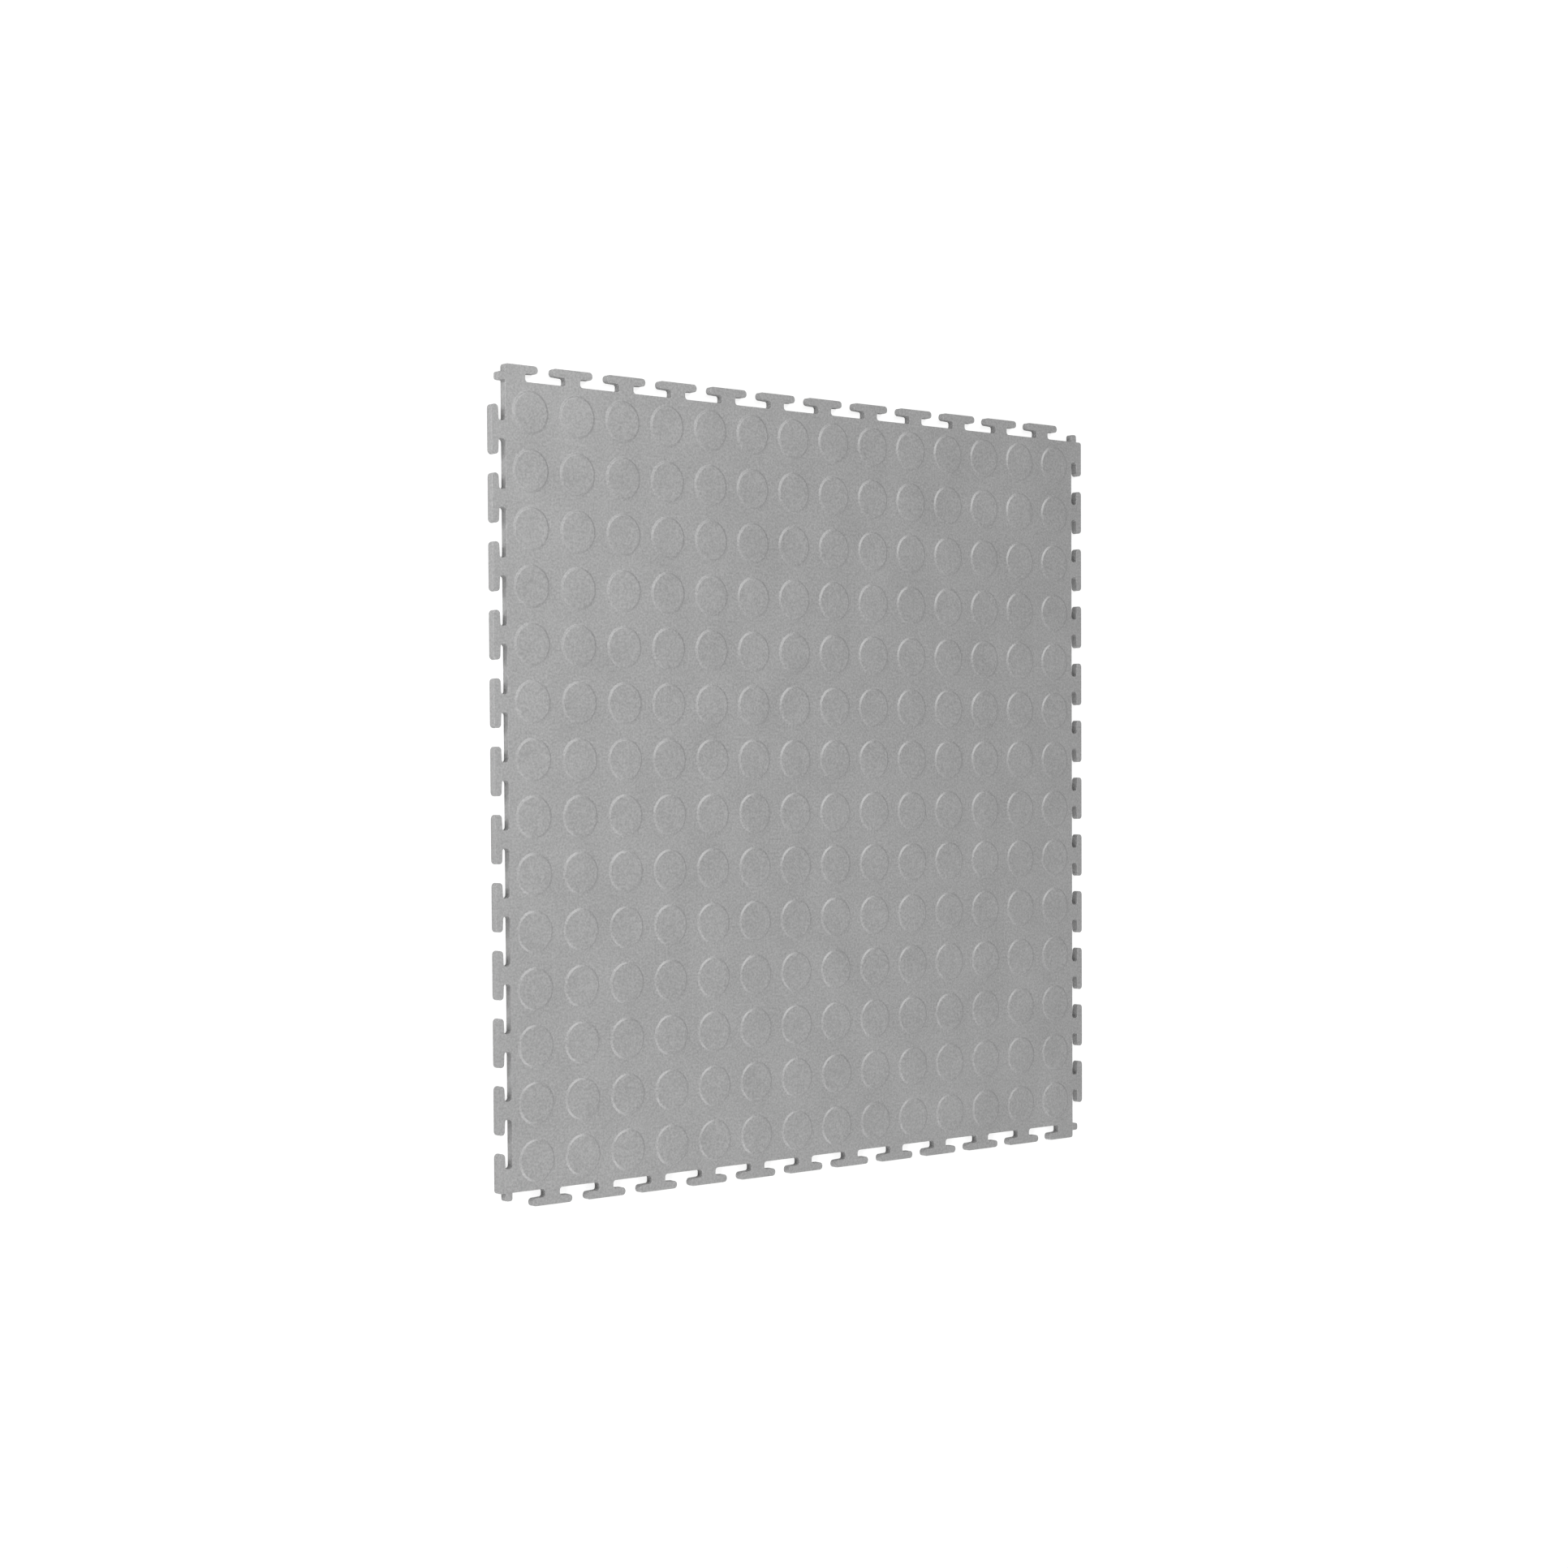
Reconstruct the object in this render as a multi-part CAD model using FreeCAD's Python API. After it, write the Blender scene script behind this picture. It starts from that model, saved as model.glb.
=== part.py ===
import FreeCAD, Part
import math
import os

# Interlocking PVC floor tile, one moulded piece, lying flat with the studded face up.
# Origin: centre of the underside. X and Y run along the sides, Z is up. Millimetres.

# Square body
body_side = 490.0
slab_thickness = 5.0
top_arris = 0.3

# T-shaped lock tabs, flush with the top face and as thick as the slab
lock_depth = 10.0
lock_clearance = 0.1
tab_pitch = 41.0
stem_width = 11.0
arm_taper = 0.2
head_outer_radius = 2.3
head_inner_radius = 2.2
stem_root_radius = 2.0
stem_head_radius = 1.4
corner_radius = 1.8
nub_radius = 1.6

# Round coin studs on the top face
stud_pitch = 34.9
stud_diameter = 26.6
stud_height = 0.6
stud_rim_width = 1.4
stud_edge_margin = 3.0

# Like tiles lock into each other, so each head fits the socket between two stems and behind two arms
head_length = tab_pitch - stem_width - 2 * lock_clearance
arm_thickness = (lock_depth - lock_clearance) / 2
arm_root_thickness = arm_thickness + arm_taper
arm_tip_thickness = arm_thickness - arm_taper
tabs_per_side = math.floor(body_side / tab_pitch - 0.5)

# The nubs of four tiles share the square gap where their corners meet
nub_side = (lock_depth - lock_clearance) / 2

studs_per_row = math.floor((body_side - 2 * stud_edge_margin - stud_diameter) / stud_pitch) + 1

NODE = "floor_tile"
UP = FreeCAD.Vector(0, 0, 1)


def point(x, y):
    return FreeCAD.Vector(x, y, 0.0)


def rounded_outline(corners):
    """Closed wire through (x, y, radius) corners, each rounded by an arc that its edges have room for."""
    count = len(corners)
    here = [point(x, y) for x, y, _ in corners]
    after = [(here[(i + 1) % count] - here[i]).normalize() for i in range(count)]
    half_angle = [(-after[i - 1]).getAngle(after[i]) / 2 for i in range(count)]
    setback = [corners[i][2] / math.tan(half_angle[i]) for i in range(count)]

    def room(i):
        """The share of the setbacks at both ends that the edge after corner i can hold."""
        wanted = setback[i] + setback[(i + 1) % count]
        length = here[i].distanceToPoint(here[(i + 1) % count])
        return min(1.0, length / wanted) if wanted > 0 else 1.0

    fitted = [setback[i] * min(room(i - 1), room(i)) for i in range(count)]
    edges = []
    for i in range(count):
        start = here[i] - after[i - 1] * fitted[i]
        end = here[i] + after[i] * fitted[i]
        if fitted[i] > 0:
            radius = fitted[i] * math.tan(half_angle[i])
            inward = (after[i] - after[i - 1]).normalize()
            middle = here[i] + inward * (radius / math.sin(half_angle[i]) - radius)
            edges.append(Part.Arc(start, middle, end).toShape())
        following = (i + 1) % count
        line_end = here[following] - after[i] * fitted[following]
        if end.distanceToPoint(line_end) > 1e-6:
            edges.append(Part.LineSegment(end, line_end).toShape())
    return Part.Wire(edges)


def tab_corners(centre):
    """Corners of one T tab, from the body out and back, for a side along +X with its body below."""
    stem = stem_width / 2
    head = head_length / 2
    neck = lock_depth - arm_root_thickness
    tip = lock_depth - arm_tip_thickness
    return [
        (centre - stem, 0.0, stem_root_radius),
        (centre - stem, neck, stem_head_radius),
        (centre - head, tip, head_inner_radius),
        (centre - head, lock_depth, head_outer_radius),
        (centre + head, lock_depth, head_outer_radius),
        (centre + head, tip, head_inner_radius),
        (centre + stem, neck, stem_head_radius),
        (centre + stem, 0.0, stem_root_radius),
    ]


def side_corners():
    """Corners of one side, clockwise from above: a half tab flush with its corner, T tabs, then a nub."""
    middle_tab = body_side / 2 + tab_pitch / 4
    first_tab = middle_tab - (tabs_per_side - 1) / 2 * tab_pitch
    corners = [(0.0, lock_depth, corner_radius)]
    corners += tab_corners(first_tab - tab_pitch)[4:]
    for k in range(tabs_per_side):
        corners += tab_corners(first_tab + k * tab_pitch)
    corners += [
        (body_side, 0.0, 0.0),
        (body_side, nub_side, nub_radius),
        (body_side + nub_side, nub_side, nub_radius),
        (body_side + nub_side, 0.0, 0.0),
    ]
    return corners


def tile_outline():
    """The four sides, each a quarter turn clockwise from the one before."""
    corners = []
    half = body_side / 2
    for turn in range(4):
        for x, y, radius in side_corners():
            u, v = x - half, y + half
            for _ in range(turn):
                u, v = v, -u
            corners.append((u, v, radius))
    return rounded_outline(corners)


def tile_slab():
    """The slab with its tabs, its top edge eased all round."""
    slab = Part.Face(tile_outline()).extrude(UP * slab_thickness)
    top_edges = [edge for edge in slab.Edges if edge.BoundBox.ZMin > slab_thickness / 2]
    return slab.makeChamfer(top_arris, top_edges)


def stud(x, y):
    """A low round stud: a flat top with a sloping rim, rooted halfway down the slab."""
    foot = stud_diameter / 2
    flat = foot - stud_rim_width
    root = slab_thickness / 2
    top = slab_thickness + stud_height
    profile = [(0, root), (foot, root), (foot, slab_thickness), (flat, top), (0, top), (0, root)]
    section = Part.Face(Part.makePolygon([FreeCAD.Vector(radius, 0, height) for radius, height in profile]))
    solid = section.revolve(FreeCAD.Vector(0, 0, 0), UP, 360)
    solid.translate(FreeCAD.Vector(x, y, 0))
    return solid


def stud_grid():
    first = -(studs_per_row - 1) / 2 * stud_pitch
    places = [first + i * stud_pitch for i in range(studs_per_row)]
    return [stud(x, y) for x in places for y in places]


def floor_tile():
    return tile_slab().fuse(stud_grid()).Solids[0]


os.makedirs("parts", exist_ok=True)
floor_tile().exportStep(os.path.join("parts", NODE + ".step"))
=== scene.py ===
import bpy
import math
from mathutils import Matrix, Vector
from mathutils.geometry import delaunay_2d_cdt

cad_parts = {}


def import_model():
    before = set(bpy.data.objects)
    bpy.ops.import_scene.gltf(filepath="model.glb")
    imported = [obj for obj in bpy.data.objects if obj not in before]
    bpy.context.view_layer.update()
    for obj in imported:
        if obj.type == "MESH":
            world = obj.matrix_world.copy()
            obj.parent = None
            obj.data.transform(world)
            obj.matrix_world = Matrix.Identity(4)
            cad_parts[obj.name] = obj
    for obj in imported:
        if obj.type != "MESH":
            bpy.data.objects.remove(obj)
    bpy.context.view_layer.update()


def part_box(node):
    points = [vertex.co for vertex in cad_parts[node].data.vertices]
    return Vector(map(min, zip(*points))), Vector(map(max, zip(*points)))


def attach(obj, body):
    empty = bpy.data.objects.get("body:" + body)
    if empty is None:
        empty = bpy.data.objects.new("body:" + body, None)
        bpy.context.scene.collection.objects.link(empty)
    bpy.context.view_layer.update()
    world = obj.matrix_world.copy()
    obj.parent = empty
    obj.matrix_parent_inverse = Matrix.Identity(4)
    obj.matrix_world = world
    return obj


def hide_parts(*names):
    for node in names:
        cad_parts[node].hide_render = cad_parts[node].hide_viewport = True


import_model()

# Interlocking floor tile, lying flat, studs up. Metres. Origin: centre of the underside.
MM = 0.001
low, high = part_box("floor_tile")
overall_side = high.x - low.x
overall_height = high.z - low.z

lock_depth = 10.0 * MM
lock_clearance = 0.1 * MM
tab_pitch = 41.0 * MM
stem_width = 11.0 * MM
arm_taper = 0.2 * MM
head_outer_radius = 2.3 * MM
head_inner_radius = 2.2 * MM
stem_root_radius = 2.0 * MM
stem_head_radius = 1.4 * MM
corner_radius = 1.8 * MM
nub_radius = 1.6 * MM
inner_corner_radius = 0.3 * MM

stud_pitch = 34.9 * MM
stud_diameter = 26.6 * MM
stud_height = 0.6 * MM
stud_rim_width = 1.4 * MM
stud_foot_radius = 1.0 * MM
stud_shoulder_radius = 1.0 * MM
stud_edge_margin = 3.0 * MM

top_edge_radius = 0.3 * MM
under_edge_radius = 0.15 * MM

body_side = overall_side - 2 * lock_depth
slab_thickness = overall_height - stud_height
head_length = tab_pitch - stem_width - 2 * lock_clearance
arm_thickness = (lock_depth - lock_clearance) / 2
nub_side = (lock_depth - lock_clearance) / 2
tabs_per_side = math.floor(body_side / tab_pitch - 0.5)
studs_per_row = math.floor((body_side - 2 * stud_edge_margin - stud_diameter) / stud_pitch) + 1

UP = Vector((0, 0, 1))

# Mesh fineness
points_per_arc = 7
points_per_cell_side = 14
edge_steps = 3
rim_steps = 2
merge_distance = 1e-7


def tab_corners(centre):
    """Corners of one T tab, from the body out and back, for a side along +X with its body below."""
    stem = stem_width / 2
    head = head_length / 2
    neck = lock_depth - arm_thickness - arm_taper
    tip = lock_depth - arm_thickness + arm_taper
    return [
        (centre - stem, 0.0, stem_root_radius),
        (centre - stem, neck, stem_head_radius),
        (centre - head, tip, head_inner_radius),
        (centre - head, lock_depth, head_outer_radius),
        (centre + head, lock_depth, head_outer_radius),
        (centre + head, tip, head_inner_radius),
        (centre + stem, neck, stem_head_radius),
        (centre + stem, 0.0, stem_root_radius),
    ]


def side_corners():
    """Corners of one side, clockwise from above: a half tab flush with its corner, T tabs, then a nub."""
    first_tab = body_side / 2 + tab_pitch / 4 - (tabs_per_side - 1) / 2 * tab_pitch
    corners = [(0.0, lock_depth, corner_radius)]
    corners += tab_corners(first_tab - tab_pitch)[4:]
    for k in range(tabs_per_side):
        corners += tab_corners(first_tab + k * tab_pitch)
    corners += [
        (body_side, 0.0, inner_corner_radius),
        (body_side, nub_side, nub_radius),
        (body_side + nub_side, nub_side, nub_radius),
        (body_side + nub_side, 0.0, inner_corner_radius),
    ]
    return corners


def outline_corners():
    """The four sides, each a quarter turn clockwise from the one before."""
    corners = []
    half = body_side / 2
    for turn in range(4):
        for x, y, radius in side_corners():
            u, v = x - half, y + half
            for _ in range(turn):
                u, v = v, -u
            corners.append((Vector((u, v)), radius))
    return corners


def rounded_outline():
    """Points round the outline, clockwise from above, each with the outward direction of its wall."""
    corners = outline_corners()
    count = len(corners)
    here = [place for place, _ in corners]
    after = [(here[(i + 1) % count] - here[i]).normalized() for i in range(count)]
    half_angle = [(-after[i - 1]).angle(after[i]) / 2 for i in range(count)]
    setback = [corners[i][1] / math.tan(half_angle[i]) for i in range(count)]

    def room(i):
        """The share of the setbacks at both ends that the edge after corner i can hold."""
        length = (here[(i + 1) % count] - here[i]).length
        return min(1.0, length / (setback[i] + setback[(i + 1) % count]))

    points = []
    for i in range(count):
        fitted = setback[i] * min(room(i - 1), room(i))
        radius = fitted * math.tan(half_angle[i])
        inward = (after[i] - after[i - 1]).normalized()
        centre = here[i] + inward * (radius / math.sin(half_angle[i]))
        convex = after[i - 1].x * after[i].y - after[i - 1].y * after[i].x < 0
        from_centre = here[i] - after[i - 1] * fitted - centre
        sweep = math.pi - 2 * half_angle[i]
        for step in range(points_per_arc + 1):
            turned = from_centre.copy()
            turned.rotate(Matrix.Rotation((-1 if convex else 1) * sweep * step / points_per_arc, 2))
            outward = turned.normalized() * (1 if convex else -1)
            points.append(((centre + turned).to_3d(), outward.to_3d()))
    return points


class Surface:
    """The points of one mesh, the way the smooth surface faces at each, and the faces between them."""

    def __init__(self):
        self.points = []
        self.facing = []
        self.faces = []

    def add(self, place, facing):
        self.points.append(place)
        self.facing.append(facing)
        return len(self.points) - 1

    def mesh(self, name):
        mesh = bpy.data.meshes.new(name)
        mesh.from_pydata(self.points, [], self.faces)
        mesh.shade_smooth()
        mesh.normals_split_custom_set_from_vertices(self.facing)
        return mesh


def rim_profile():
    """The stud's rim from its foot inward, as (distance from the middle, height over the slab, slope)."""
    foot = stud_diameter / 2
    flat = foot - stud_rim_width
    slope = math.atan(stud_height / stud_rim_width)
    outer = foot + stud_foot_radius * math.tan(slope / 2)
    inner = flat - stud_shoulder_radius * math.tan(slope / 2)
    profile = []
    for step in range(rim_steps + 1):
        angle = slope * step / rim_steps
        rise = stud_foot_radius * (1 - math.cos(angle))
        profile.append((outer - stud_foot_radius * math.sin(angle), rise, angle))
    for step in range(rim_steps + 1):
        angle = slope * (1 - step / rim_steps)
        drop = stud_shoulder_radius * (1 - math.cos(angle))
        profile.append((inner + stud_shoulder_radius * math.sin(angle), stud_height - drop, angle))
    return profile


def studs(surface):
    """The square field of stud cells. Returns the points along the field's border."""
    side_count = points_per_cell_side
    half_cell = stud_pitch / 2
    grid = studs_per_row * side_count
    corner = -studs_per_row / 2 * stud_pitch
    step = stud_pitch / side_count
    lattice = {}

    def lattice_point(i, j):
        """A shared point on the lines between cells."""
        if (i, j) not in lattice:
            lattice[i, j] = surface.add((corner + i * step, corner + j * step, slab_thickness), UP)
        return lattice[i, j]

    around = [(k, 0) for k in range(side_count)]
    around += [(side_count, k) for k in range(side_count)]
    around += [(side_count - k, side_count) for k in range(side_count)]
    around += [(0, side_count - k) for k in range(side_count)]
    rays = [Vector((i * step - half_cell, j * step - half_cell, 0)).normalized() for i, j in around]
    for column in range(studs_per_row):
        for row in range(studs_per_row):
            x = corner + (column + 0.5) * stud_pitch
            y = corner + (row + 0.5) * stud_pitch
            centre = Vector((x, y, slab_thickness))
            ring = [lattice_point(column * side_count + i, row * side_count + j) for i, j in around]
            for distance, height, slope in rim_profile():
                lift = UP * height
                upright = UP * math.cos(slope)
                inner = [
                    surface.add(centre + ray * distance + lift, ray * math.sin(slope) + upright)
                    for ray in rays
                ]
                for k in range(len(ring)):
                    following = (k + 1) % len(ring)
                    surface.faces.append((ring[k], ring[following], inner[following], inner[k]))
                ring = inner
            surface.faces.append(tuple(ring))
    border = [lattice[i, 0] for i in range(grid)]
    border += [lattice[grid, j] for j in range(grid)]
    border += [lattice[grid - i, grid] for i in range(grid)]
    border += [lattice[0, grid - j] for j in range(grid)]
    return border


def fill(surface, loop, hole, upward):
    """Flat triangles inside a loop of the surface's points, round a hole if there is one."""
    inside_only = 1
    loops = [loop] + ([hole] if hole else [])
    indices = [i for one in loops for i in one]
    flat = [Vector(surface.points[i][:2]) for i in indices]
    edges = []
    start = 0
    for one in loops:
        edges += [(start + k, start + (k + 1) % len(one)) for k in range(len(one))]
        start += len(one)
    outer_faces = [list(range(len(loop)))[::-1]]
    if hole:
        outer_faces.append(list(range(len(loop), len(loop) + len(hole))))
    filled = delaunay_2d_cdt(flat, edges, outer_faces, inside_only, merge_distance)
    places, _, triangles, origins, _, face_origins = filled
    for triangle, source in zip(triangles, face_origins):
        if hole and 1 in source:
            continue
        corners = [indices[origins[i][0]] for i in triangle]
        a, b, c = (places[i] for i in triangle)
        if ((b - a).cross(c - a) > 0) != upward:
            corners.reverse()
        surface.faces.append(tuple(corners))


def wall(surface):
    """The wall round the tile, its lower and upper edges rounded. Returns its lowest and its highest ring."""
    outline = rounded_outline()
    quarter = [math.pi / 2 * step / edge_steps for step in range(edge_steps + 1)]
    levels = [(under_edge_radius, under_edge_radius, angle - math.pi / 2) for angle in quarter]
    levels += [(top_edge_radius, slab_thickness - top_edge_radius, angle) for angle in quarter]
    rings = []
    for radius, middle_height, slope in levels:
        inset = radius * (1 - math.cos(slope))
        lift = UP * (middle_height + radius * math.sin(slope))
        upright = UP * math.sin(slope)
        rings.append([
            surface.add(place - outward * inset + lift, outward * math.cos(slope) + upright)
            for place, outward in outline
        ])
    for below, above in zip(rings, rings[1:]):
        for k in range(len(outline)):
            following = (k + 1) % len(outline)
            surface.faces.append((below[following], below[k], above[k], above[following]))
    return rings[0], rings[-1]


def tile_mesh():
    """The whole moulding as one closed mesh: underside, wall, top face and studs."""
    surface = Surface()
    lowest, highest = wall(surface)
    field_border = studs(surface)
    fill(surface, lowest, None, upward=False)
    fill(surface, highest, field_border, upward=True)
    return surface.mesh("tile")


def grey(level):
    return (level, level, level, 1)


def pvc():
    """Light grey flexible PVC: a fine pebbled grain, faint mottling, soft sheen."""
    darkest, lightest = 0.245, 0.45
    pebble_size, pebble_detail, pebble_roughness = 1.3 * MM, 2, 0.6
    fine_size, fine_detail, fine_share = 0.4 * MM, 2, 0.4
    cloud_size, cloud_detail, cloud_share = 35 * MM, 3, 0.2
    wave_size, wave_detail, wave_depth = 60 * MM, 1, 2.5 * MM
    grain_depth = 0.045 * MM
    tone_reach = 1.6
    relief_low, relief_high = 0.4, 1.0
    smoothest, roughest = 0.34, 0.44
    sheen = 0.85

    material = bpy.data.materials.new("pvc_grey")
    material.use_nodes = True
    nodes = material.node_tree.nodes
    links = material.node_tree.links
    shader = nodes["Principled BSDF"]
    shader.inputs["Specular IOR Level"].default_value = sheen

    where = nodes.new("ShaderNodeTexCoord")

    def noise(size, detail, roughness=0.5):
        node = nodes.new("ShaderNodeTexNoise")
        node.inputs["Scale"].default_value = 1 / size
        node.inputs["Detail"].default_value = detail
        node.inputs["Roughness"].default_value = roughness
        links.new(where.outputs["Object"], node.inputs["Vector"])
        return node.outputs["Fac"]

    def spread(value, to_low, to_high, from_low=0.3, from_high=0.7):
        """A value taken from one range to another, by default from the range that noise mostly keeps to."""
        node = nodes.new("ShaderNodeMapRange")
        node.inputs["From Min"].default_value = from_low
        node.inputs["From Max"].default_value = from_high
        node.inputs["To Min"].default_value = to_low
        node.inputs["To Max"].default_value = to_high
        links.new(value, node.inputs["Value"])
        return node.outputs["Result"]

    def sum_of(a, share, b):
        """A share of a, and all of b."""
        node = nodes.new("ShaderNodeMath")
        node.operation = "MULTIPLY_ADD"
        links.new(a, node.inputs[0])
        node.inputs[1].default_value = share
        links.new(b, node.inputs[2])
        return node.outputs[0]

    def bump(height, distance, normal=None):
        node = nodes.new("ShaderNodeBump")
        node.inputs["Strength"].default_value = 1.0
        node.inputs["Distance"].default_value = distance
        links.new(height, node.inputs["Height"])
        if normal:
            links.new(normal, node.inputs["Normal"])
        return node.outputs["Normal"]

    pebbles = noise(pebble_size, pebble_detail, pebble_roughness)
    fine = noise(fine_size, fine_detail)
    cloud = noise(cloud_size, cloud_detail)
    wave = noise(wave_size, wave_detail)

    tone = sum_of(spread(cloud, -1, 1), cloud_share, spread(pebbles, -1, 1))
    shade = nodes.new("ShaderNodeMix")
    shade.data_type = "RGBA"
    shade.inputs["A"].default_value = grey(darkest)
    shade.inputs["B"].default_value = grey(lightest)
    links.new(spread(tone, 0, 1, -tone_reach, tone_reach), shade.inputs["Factor"])
    links.new(shade.outputs["Result"], shader.inputs["Base Color"])

    relief = sum_of(fine, fine_share, pebbles)
    links.new(spread(relief, smoothest, roughest, relief_low, relief_high), shader.inputs["Roughness"])
    links.new(bump(relief, grain_depth, bump(wave, wave_depth)), shader.inputs["Normal"])
    return material


def floor_material():
    """A white studio floor. The camera sees it lifted to just over white, with its shadows faint."""
    lit_level = 0.8
    seen_level = 0.3
    seen_lift = 0.82
    material = bpy.data.materials.new("studio_white")
    material.use_nodes = True
    nodes = material.node_tree.nodes
    links = material.node_tree.links
    shader = nodes["Principled BSDF"]
    shader.inputs["Roughness"].default_value = 0.9
    shader.inputs["Specular IOR Level"].default_value = 0.0
    shader.inputs["Emission Color"].default_value = grey(1)
    rays = nodes.new("ShaderNodeLightPath")
    seen = nodes.new("ShaderNodeMix")
    seen.data_type = "RGBA"
    seen.inputs["A"].default_value = grey(lit_level)
    seen.inputs["B"].default_value = grey(seen_level)
    links.new(rays.outputs["Is Camera Ray"], seen.inputs["Factor"])
    links.new(seen.outputs["Result"], shader.inputs["Base Color"])
    lift = nodes.new("ShaderNodeMath")
    lift.operation = "MULTIPLY"
    lift.inputs[1].default_value = seen_lift
    links.new(rays.outputs["Is Camera Ray"], lift.inputs[0])
    links.new(lift.outputs[0], shader.inputs["Emission Strength"])
    return material


def tile():
    piece = bpy.data.objects.new("tile", tile_mesh())
    bpy.context.scene.collection.objects.link(piece)
    piece.data.materials.append(pvc())
    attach(piece, "root")
    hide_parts("floor_tile")
    return piece


def floor():
    reach = 1.25
    mesh = bpy.data.meshes.new("floor")
    corners = [(-reach, -reach, 0), (reach, -reach, 0), (reach, reach, 0), (-reach, reach, 0)]
    mesh.from_pydata(corners, [], [(0, 1, 2, 3)])
    piece = bpy.data.objects.new("floor", mesh)
    bpy.context.scene.collection.objects.link(piece)
    mesh.materials.append(floor_material())


def soft_light(name, place, width, length, watts, turn=0.0):
    """A rectangular soft box facing the tile, turned about the line to the tile by an angle in degrees."""
    data = bpy.data.lights.new(name, "AREA")
    data.shape = "RECTANGLE"
    data.size = width
    data.size_y = length
    data.energy = watts
    lamp = bpy.data.objects.new(name, data)
    bpy.context.scene.collection.objects.link(lamp)
    lamp.visible_camera = False
    lamp.location = place
    lamp.rotation_euler = Vector(place).to_track_quat("Z", "Y").to_euler()
    lamp.rotation_euler.rotate_axis("Z", math.radians(turn))


def world():
    """An even white surround, pure white where the camera sees it past the floor."""
    ambient = 0.19
    scene = bpy.context.scene
    scene.world = bpy.data.worlds.new("studio")
    scene.world.use_nodes = True
    nodes = scene.world.node_tree.nodes
    background = nodes["Background"]
    background.inputs["Color"].default_value = grey(1)
    rays = nodes.new("ShaderNodeLightPath")
    level = nodes.new("ShaderNodeMath")
    level.operation = "MULTIPLY_ADD"
    level.inputs[1].default_value = 1 - ambient
    level.inputs[2].default_value = ambient
    scene.world.node_tree.links.new(rays.outputs["Is Camera Ray"], level.inputs[0])
    scene.world.node_tree.links.new(level.outputs[0], background.inputs["Strength"])


def camera():
    """The photograph's viewpoint: over the -X side, looking along +X and down, rolled a quarter turn."""
    frame_pixels = 1932
    focal_pixels = 3356
    middle_drop_pixels = 114
    film_width = 36.0
    eye = Vector((-1183.8, 4.3, 1363.1)) * MM
    aim = Vector((-27.2, -59.1, 4.5)) * MM
    roll = math.radians(92.06)
    data = bpy.data.cameras.new("camera")
    data.sensor_width = film_width
    data.lens = focal_pixels * film_width / frame_pixels
    data.shift_y = middle_drop_pixels / frame_pixels
    data.clip_start = 0.05
    data.clip_end = 50
    viewer = bpy.data.objects.new("camera", data)
    bpy.context.scene.collection.objects.link(viewer)
    viewer.location = eye
    viewer.rotation_euler = (aim - eye).to_track_quat("-Z", "Y").to_euler()
    viewer.rotation_euler.rotate_axis("Z", roll)
    bpy.context.scene.camera = viewer


camera()
tile()
floor()
world()
soft_light("key", place=(0.65, 1.45, 2.8), width=0.5, length=2.4, watts=45, turn=-28)
soft_light("left", place=(-0.7, 0.3, 0.4), width=0.3, length=0.3, watts=1.55)
soft_light("low", place=(-0.45, -1.2, 1.0), width=1.6, length=1.0, watts=17)
soft_light("side", place=(-1.48, 0.66, 0.3), width=0.3, length=0.2, watts=4.8)
bpy.context.scene.view_settings.view_transform = "Standard"
